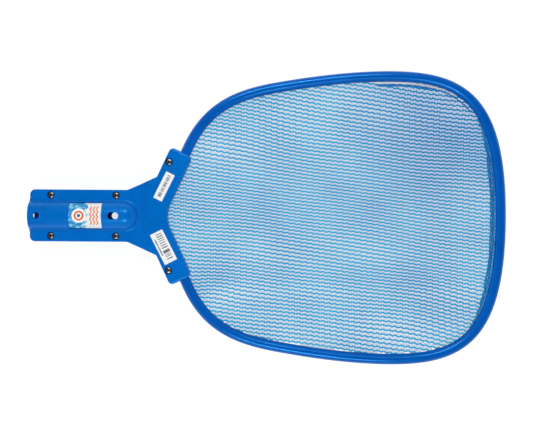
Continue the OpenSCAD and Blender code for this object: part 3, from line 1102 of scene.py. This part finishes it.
@dataclass
class Hoop:
    """The plastic sleeve of the hoop, with the groove that holds the net's hem."""

    plan: SkimmerPlan
    groove_r: float = 1.3 * MM
    groove_at: float = 2.6 * MM
    sides: int = 40
    steps: int = 30

    def section(self) -> np.ndarray:
        """Gives the sleeve's section as (inward, up) points."""
        r, g, lip = self.plan.tube_r, self.groove_r, 0.35 * MM
        mouth = math.sqrt(r * r - g * g)
        turn = math.asin((g + lip) / r)
        arc = [(r * math.cos(a), r * math.sin(a))
               for a in np.linspace(turn, math.tau - turn, self.sides)]
        return np.array([(self.groove_at, g), (mouth - lip, g), (mouth, g + 0.3 * lip)] + arc
                        + [(mouth, -g - 0.3 * lip), (mouth - lip, -g), (self.groove_at, -g)])

    def build(self, name: str) -> bpy.types.Object:
        """Sweeps the section along the hoop's line.

        Args:
            name: the piece's name.

        Returns:
            The sleeve as a mesh.
        """
        line = self.plan.hoop_line(self.steps)
        along = np.gradient(line, axis=0)
        along /= np.linalg.norm(along, axis=1)[:, None]
        inward = np.stack([-along[:, 1], along[:, 0]], 1)
        section = self.section()
        plane = line[:, None] + section[None, :, :1] * inward[:, None]
        height = np.broadcast_to(section[None, :, 1:], plane.shape[:2] + (1,))
        count = len(section)
        i, j = np.meshgrid(np.arange(len(line) - 1), np.arange(count), indexing="ij")
        near, far = i * count + j, i * count + (j + 1) % count
        faces = np.stack([near, near + count, far + count, far], -1).reshape(-1, 4)
        obj = from_arrays(name, np.concatenate([plane, height], 2).reshape(-1, 3), faces)
        edit(obj)
        for keep in (lambda x: x < line[1, 1], lambda x: x > line[-2, 1]):
            pick(obj, lambda e: len(e.link_faces) == 1 and keep(e.verts[0].co.y))
            bpy.ops.mesh.edge_face_add()
        leave_edit()
        tidy_faces(obj)
        smooth(obj, 35)
        return obj


# ---------------------------------------------------------------- net


@dataclass(frozen=True)
class Pull:
    """A place where the stretched knit's rows lean more or less."""

    x: float
    y: float
    lean: float
    length: float = 32 * MM
    width: float = 42 * MM

    def shift(self, x: np.ndarray, y: np.ndarray) -> np.ndarray:
        """Gives how far the rows are shifted sideways at points in the plan."""
        fade = np.exp(-((y - self.y) / self.width) ** 2)
        return self.lean * self.length * np.tanh((x - self.x) / self.length) * fade


@dataclass(frozen=True)
class HemStrand:
    """One strand of the hem: how far in and up it lies in mm, and its span in degrees."""

    inward: float
    up: float
    low: float
    high: float


@dataclass
class Net:
    """The knitted net: wavy chains of two twisted strands, tied by thin link threads."""

    plan: SkimmerPlan
    edge_in: float = 5.25 * MM
    flat_margin: float = 7.5 * MM
    drop: float = 14 * MM
    pitch: float = 5.06 * MM
    slope: float = math.tan(math.radians(8.2))
    strand_r: float = 0.94 * MM
    twist_len: float = 7.4 * MM
    spread: float = 0.76 * MM
    wave_len: float = 8.2 * MM
    wave: float = 0.75 * MM
    step: float = 1.85 * MM
    filler_r: float = 0.5 * MM
    filler_reach: float = 1.25 * MM
    hem_r: float = 0.95 * MM
    blue_hem: tuple[HemStrand, ...] = (
        HemStrand(7.5, -0.6, -46, 41), HemStrand(8.9, 0.8, -43, 39), HemStrand(10.3, 0.8, -40, 36),
        HemStrand(11.7, 0.7, -36, 32), HemStrand(13.1, 0.5, -30, 27), HemStrand(11.3, 0.7, 44, 85),
        HemStrand(12.9, 0.6, 62, 83))
    pale_hem: tuple[HemStrand, ...] = (
        HemStrand(8.1, 0.9, 52, 87), HemStrand(9.7, 0.7, 60, 85))
    pulls: tuple[Pull, ...] = (
        Pull(0.518, -0.020, -0.07), Pull(0.566, 0.063, 0.09), Pull(0.316, 0.115, -0.11),
        Pull(0.320, -0.130, 0.05), Pull(0.248, -0.038, 0.08), Pull(0.462, -0.122, 0.07),
        Pull(0.556, -0.122, -0.12), Pull(0.230, -0.094, 0.24, 12 * MM, 20 * MM),
        Pull(0.268, -0.104, -0.10, 14 * MM, 22 * MM))
    edge: np.ndarray = field(init=False)
    middle: np.ndarray = field(init=False)

    def __post_init__(self) -> None:
        """Works out the net's edge, as directions and distances from its middle."""
        line = self.plan.hoop_line()
        along = np.gradient(line, axis=0)
        along /= np.linalg.norm(along, axis=1)[:, None]
        inward = np.stack([-along[:, 1], along[:, 0]], 1)
        points = line + self.edge_in * inward
        self.middle = np.array([self.plan.vee_x + self.plan.wide_at - 40 * MM, 0.0])
        away = points - self.middle
        angle = np.arctan2(away[:, 1], away[:, 0])
        order = np.argsort(angle)
        self.edge = np.stack([angle[order], np.linalg.norm(away, axis=1)[order],
                              points[order, 0]], 1)

    def reach(self, x: np.ndarray, y: np.ndarray) -> tuple[np.ndarray, np.ndarray]:
        """Gives, for points in the plan, the distance to the edge and the height.

        Args:
            x: their x.
            y: their y.

        Returns:
            The distance from the edge, negative outside it, and the net's height there.
        """
        dx, dy = x - self.middle[0], y - self.middle[1]
        angle = np.arctan2(dy, dx)
        limit = np.interp(angle, self.edge[:, 0], self.edge[:, 1], period=math.tau)
        edge_x = np.interp(angle, self.edge[:, 0], self.edge[:, 2], period=math.tau)
        inside = limit - np.hypot(dx, dy)
        front_x = self.plan.vee_x + self.plan.hoop_len - self.plan.tube_r
        share = np.clip((front_x - edge_x) / (front_x - self.plan.vee_x), 0, None)
        fall = 18 * MM + 90 * MM * share ** 0.6
        depth = np.clip((inside - self.flat_margin) / fall, 0, 1)
        return inside, -self.drop * (1 - (1 - depth) ** 2)

    def drift(self, x: np.ndarray, y: np.ndarray) -> np.ndarray:
        """Gives how far the rows drift from straight lines, as stretched knit does."""
        ripple = 0.6 * MM * np.sin(x / 0.021 + y / 0.034) * np.cos(y / 0.027)
        return ripple + sum(pull.shift(x, y) for pull in self.pulls)

    def row(self, level: float) -> list[np.ndarray]:
        """Gives the stretches of one row as points in the plan.

        Args:
            level: the row's height on the net's middle line.

        Returns:
            The stretches that lie inside the edge.
        """
        x = np.arange(self.plan.vee_x - 10 * MM, self.plan.vee_x + self.plan.hoop_len, self.step)
        straight = level - self.slope * (x - self.middle[0])
        y = straight.copy()
        for _ in range(8):
            y = straight + self.drift(x, y)
        inside = self.reach(x, y)[0] > 0
        turns = np.flatnonzero(np.diff(inside.astype(int)))
        return [np.stack([x[part], y[part]], 1)
                for part in np.split(np.arange(len(x)), turns + 1)
                if inside[part[0]] and len(part) > 3]

    def levels(self) -> np.ndarray:
        """Gives the levels of the rows."""
        half = self.plan.hoop_w / 2 + self.slope * self.plan.hoop_len
        count = int(half / self.pitch)
        return self.pitch * np.arange(-count, count + 1)

    def strands(self, line: np.ndarray, phase: float) -> list[np.ndarray]:
        """Twists two strands about a row's line, in space."""
        x, y = line[:, 0], line[:, 1]
        made = []
        for side in (0, math.pi):
            turn = math.tau * x / self.twist_len + side + phase
            across = (y + self.wave * np.sin(math.tau * x / self.wave_len + 0.3 * phase)
                      + self.spread * np.sin(turn))
            height = self.reach(x, across)[1] + 0.38 * MM * np.cos(turn)
            made.append(np.stack([x, across, height], 1))
        return made

    def fillers(self, line: np.ndarray) -> list[np.ndarray]:
        """Crosses two zigzag strands between a row and the next one, in space."""
        x = line[:, 0]
        y = line[:, 1] + self.pitch / 2 + self.wave * np.sin(math.tau * x / self.wave_len)
        sway = self.filler_reach * np.where(np.arange(len(x)) % 2 == 0, 1, -1)
        made = []
        for side in (1, -1):
            across = y + side * sway
            inside, z = self.reach(x, across)
            height = z + 0.2 * MM * side * np.cos(math.tau * x / self.twist_len)
            made.append(np.stack([x, across, height], 1)[inside > 0])
        return [strand for strand in made if len(strand) > 3]

    def hem(self, strands: Iterable[HemStrand]) -> list[np.ndarray]:
        """Lays strands of the hem that shows inside the hoop, in space."""
        line = self.plan.hoop_line(90)
        along = np.gradient(line, axis=0)
        along /= np.linalg.norm(along, axis=1)[:, None]
        inward = np.stack([-along[:, 1], along[:, 0]], 1)
        made = []
        for strand in strands:
            path = line + strand.inward * MM * inward
            angle = np.degrees(np.arctan2(path[:, 1], path[:, 0] - self.middle[0]))
            path = path[(angle > strand.low) & (angle < strand.high)]
            run = np.linalg.norm(np.diff(path, axis=0, prepend=path[:1]), axis=1).cumsum()
            wave = np.sin(math.tau * run / (4.1 * MM) + strand.low)
            wave += 0.7 * np.sin(math.tau * run / (11.3 * MM) + 2 * strand.low)
            away = unit_rows(path - self.middle)
            path = path + 0.35 * MM * wave[:, None] * away
            height = self.reach(path[:, 0], path[:, 1])[1] + strand.up * MM + 0.2 * MM * wave
            made.append(np.stack([path[:, 0], path[:, 1], height], 1))
        return made

    @staticmethod
    def tubes(lines: Sequence[np.ndarray], radius: float) -> tuple[np.ndarray, np.ndarray]:
        """Wraps closed three-sided tubes round lines.

        Args:
            lines: the lines, as points in space.
            radius: the tubes' radius.

        Returns:
            The points and the faces, four corners each.
        """
        points, faces, count = [], [], 0
        for line in lines:
            along = np.gradient(line, axis=0)
            along /= np.linalg.norm(along, axis=1)[:, None]
            side = np.cross((0, 0, 1.0), along)
            side /= np.linalg.norm(side, axis=1)[:, None]
            up = np.cross(along, side)
            n = len(line)
            for k in range(3):
                a = math.tau * k / 3 + math.pi / 2
                points.append(line + radius * (math.cos(a) * side + math.sin(a) * up))
            i = np.arange(n - 1)
            for k in range(3):
                a, b = count + k * n, count + (k + 1) % 3 * n
                faces.append(np.stack([a + i, a + i + 1, b + i + 1, b + i], 1))
            count += 3 * n
        return np.concatenate(points), np.concatenate(faces)

    def yarn(self, name: str, lines: Sequence[np.ndarray], radius: float) -> bpy.types.Object:
        """Makes one piece of yarn tubes with closed ends."""
        points, faces = self.tubes(lines, radius)
        obj = from_arrays(name, points, faces)
        edit(obj)
        pick(obj, lambda e: len(e.link_faces) == 1)
        bpy.ops.mesh.edge_face_add()
        bpy.ops.mesh.select_all(action="SELECT")
        bpy.ops.mesh.normals_make_consistent(inside=False)
        leave_edit()
        smooth(obj, 180, False)
        return obj

    def build(self) -> list[bpy.types.Object]:
        """Builds the net's blue rows, the pale strands between them and the hem."""
        rows, pale = [], []
        for k, level in enumerate(self.levels()):
            for part in self.row(level):
                rows += self.strands(part, 0.35 * math.sin(1.7 * k))
                pale += self.fillers(part)
        return [self.yarn("knitted_net", rows, self.strand_r),
                self.yarn("net_pale_strands", pale, self.filler_r),
                self.yarn("net_blue_hem", self.hem(self.blue_hem), self.hem_r),
                self.yarn("net_pale_hem", self.hem(self.pale_hem), self.hem_r)]


# ---------------------------------------------------------------- labels


@dataclass
class Labels:
    """The front label and the two stickers on the wings."""

    plan: SkimmerPlan
    thickness: float = 0.3 * MM
    corner_r: float = 0.6 * MM

    def front(self, name: str, span: tuple[float, float], half: float, radius: float
              ) -> bpy.types.Object:
        """Builds the curved front label.

        Args:
            name: the piece's name.
            span: where it starts and ends along the handle.
            half: half its width.
            radius: the radius of the recess that it lies in.

        Returns:
            The label.
        """
        outer = radius + self.thickness
        sweep = math.asin(half / outer)
        angles = np.linspace(-sweep, sweep, 33)
        outline = [(outer * math.sin(a), outer * math.cos(a)) for a in angles]
        outline += [(radius * math.sin(a), radius * math.cos(a)) for a in reversed(angles)]
        obj = prism(name, outline, *span, axis=Axis.X)
        smooth(obj, 30)
        return obj

    def sticker(self, name: str, tag: PaperPrint) -> bpy.types.Object:
        """Builds a flat sticker with rounded corners on a wing, where its print lies."""
        half, wide = tag.length / 2, tag.width / 2
        box = [(-half, -wide), (half, -wide), (half, wide), (-half, wide)]
        outline = []
        for k in range(4):
            outline += corner(box[k - 1], box[k], box[(k + 1) % 4], self.corner_r, 4)
        c, s = math.cos(tag.angle), math.sin(tag.angle)
        placed = [(tag.centre[0] + c * x - s * y, tag.centre[1] + s * x + c * y)
                  for x, y in outline]
        top = self.plan.yoke_h
        obj = prism(name, placed, top, top + self.thickness)
        edit(obj)
        pick(obj, lambda e: all(v.co.z > top + 0.5 * self.thickness for v in e.verts))
        bpy.ops.mesh.bevel(offset=0.1 * MM, segments=2, affect="EDGES")
        leave_edit()
        smooth(obj, 30)
        return obj


# ---------------------------------------------------------------- studio


@dataclass
class Studio:
    """The floor, the lights and the camera."""

    middle: Point2 = (0.35, 0.0)
    floor_z: float = -20.5 * MM

    def floor(self) -> None:
        """Lays a plain pale floor."""
        select_none()
        bpy.ops.mesh.primitive_plane_add(size=8, location=(self.middle[0], 0, self.floor_z))
        floor = bpy.context.object
        floor.name = "studio_floor"
        sheet = Sheet("floor_white")
        shader = sheet.shader.inputs
        sheet.join(sheet.mix(sheet.noise(3, 2), (0.4, 0.4, 0.4), (0.42, 0.42, 0.42)),
                   shader["Base Color"])
        shader["Roughness"].default_value = 0.9
        shader["Specular IOR Level"].default_value = 0.1
        shader["Emission Color"].default_value = (1, 1, 1, 1)
        shader["Emission Strength"].default_value = 0.75
        dress(floor, sheet.material)

    def lamp(self, name: str, place: Sequence[float], size: float, power: float) -> None:
        """Hangs a long soft light that looks at the middle of the object."""
        lamp = bpy.data.lights.new(name, "AREA")
        lamp.shape = "RECTANGLE"
        lamp.size, lamp.size_y = 2.2 * size, size
        lamp.energy = power
        obj = bpy.data.objects.new(name, lamp)
        bpy.context.scene.collection.objects.link(obj)
        aim = Vector((*self.middle, 0)) - Vector(place)
        obj.rotation_euler = aim.to_track_quat("-Z", "Y").to_euler()
        obj.location = place

    def sky(self) -> None:
        """Surrounds the scene with light that is pale at the horizon and dim overhead."""
        world = bpy.data.worlds.new("studio")
        world.use_nodes = True
        bpy.context.scene.world = world
        tree = world.node_tree
        ground = next(n for n in tree.nodes if n.type == "BACKGROUND")
        place = tree.nodes.new("ShaderNodeTexCoord")
        split = tree.nodes.new("ShaderNodeSeparateXYZ")
        ramp = tree.nodes.new("ShaderNodeMapRange")
        ramp.inputs["From Min"].default_value = 0.05
        ramp.inputs["From Max"].default_value = 0.75
        ramp.inputs["To Min"].default_value = 0.9
        ramp.inputs["To Max"].default_value = 0.05
        tree.links.new(place.outputs["Generated"], split.inputs[0])
        tree.links.new(split.outputs["Z"], ramp.inputs["Value"])
        tree.links.new(ramp.outputs["Result"], ground.inputs["Strength"])
        ground.inputs["Color"].default_value = (1, 1, 1, 1)

    def camera(self) -> None:
        """Sets the camera straight above the object."""
        data = bpy.data.cameras.new("camera")
        data.sensor_width = 36
        data.lens = 57.4
        obj = bpy.data.objects.new("camera", data)
        bpy.context.scene.collection.objects.link(obj)
        obj.location = (0.318, 0.0052, 1.147)
        obj.rotation_euler = (0, 0, math.radians(0.4))
        bpy.context.scene.camera = obj

    def build(self) -> None:
        """Builds the whole studio."""
        self.camera()
        self.floor()
        self.sky()
        x = self.middle[0]
        for side in (1, -1):
            self.lamp(f"softbox_{side + 2}", (x - 0.05, side * 0.95, 1.2), 0.3, 13)
        view = bpy.context.scene.view_settings
        view.view_transform = "Standard"
        view.look = "None"


# ---------------------------------------------------------------- assembly


def add_piece(obj: bpy.types.Object, material: bpy.types.Material, slot: str,
              *nodes: str) -> bpy.types.Object:
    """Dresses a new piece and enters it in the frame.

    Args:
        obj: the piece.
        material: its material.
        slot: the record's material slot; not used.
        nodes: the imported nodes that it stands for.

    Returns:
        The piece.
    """
    dress(obj, material)
    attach(obj, "root")
    if nodes:
        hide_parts(*nodes)
    LOG.info("%s: %d faces", obj.name, len(obj.data.polygons))
    return obj


def plan_from(frame: dict) -> SkimmerPlan:
    """Takes the socket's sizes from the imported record's mounts."""
    mounts = {m["name"]: m for m in frame["record"]["mounts"]}
    socket, button = mounts["pole_socket"], mounts["button_hole"]
    return SkimmerPlan(bore_r=socket["dims"]["r_mm"] * MM,
                       bore_depth=socket["dims"]["length_mm"] * MM,
                       button_r=button["dims"]["r_mm"] * MM, button_x=button["pos_m"][0])


def main() -> None:
    """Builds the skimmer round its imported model."""
    logging.basicConfig(level=logging.INFO, format="%(name)s: %(message)s")
    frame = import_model()
    Studio().build()
    plan = plan_from(frame)
    shells = HandleShells(plan)
    shell_blue = SHELL_BLUE.material()
    add_piece(shells.build(Half.FRONT, "front_handle_shell"), shell_blue, "shell_plastic",
              "front_shell")
    add_piece(shells.build(Half.BACK, "back_handle_shell"), shell_blue, "shell_plastic",
              "back_shell")

    screws = Screws()
    low, high = shells.seats
    add_piece(screws.build("handle_pan_screws", shells.handle_screw_places(), low, 8 * MM,
                           (-3, 37, 50, 90)), screws.steel("handle_steel", low), "screw_steel",
              "handle_screws")
    add_piece(screws.build("wing_pan_screws", shells.wing_screw_places(), high, 12.2 * MM,
                           (-30, 30)), screws.steel("wing_steel", high), "screw_steel", "wing_screws")

    add_piece(Hoop(plan).build("hoop_plastic_sleeve"), HOOP_BLUE.material(), "hoop_plastic",
              "hoop_sleeve")
    dress(frame["nodes"]["hoop_core"], TUBE_ALUMINIUM.material())
    dress(frame["nodes"]["hem_cord"], HEM_WHITE.material())

    rows, pale, blue_hem, pale_hem = Net(plan).build()
    add_piece(rows, NET_BLUE.material(), "net_knit", "net")
    add_piece(pale, NET_PALE.material(), "net_knit")
    add_piece(blue_hem, NET_HEM.material(), "net_knit")
    add_piece(pale_hem, HEM_WHITE.material(), "net_knit")

    labels = Labels(plan)
    start, end = shells.label_x
    print_front = FrontPrint("front_print", start, end - start, 2 * shells.label_half)
    add_piece(labels.front("printed_front_label", shells.label_x, shells.label_half,
                           plan.housing_r - shells.label_depth),
              print_front.material(), "label_film", "front_label")
    upright = math.pi / 2 - plan.wing_lean
    x, y = plan.wing(35.9 * MM, 17.1 * MM)
    tag = PaperPrint("plain_paper", (x, y), upright - math.radians(1.5), 39.1 * MM, 12.7 * MM,
                     False)
    add_piece(labels.sticker("upper_wing_sticker", tag), tag.material(), "sticker_paper",
              "plain_sticker")
    x, y = plan.wing(37.4 * MM, 17.9 * MM)
    tag = PaperPrint("barred_paper", (x, -y), math.radians(2.4) - upright, 44.8 * MM, 18.2 * MM,
                     True)
    add_piece(labels.sticker("lower_wing_sticker", tag), tag.material(), "sticker_paper",
              "striped_sticker")


if __name__ == "__main__":
    main()
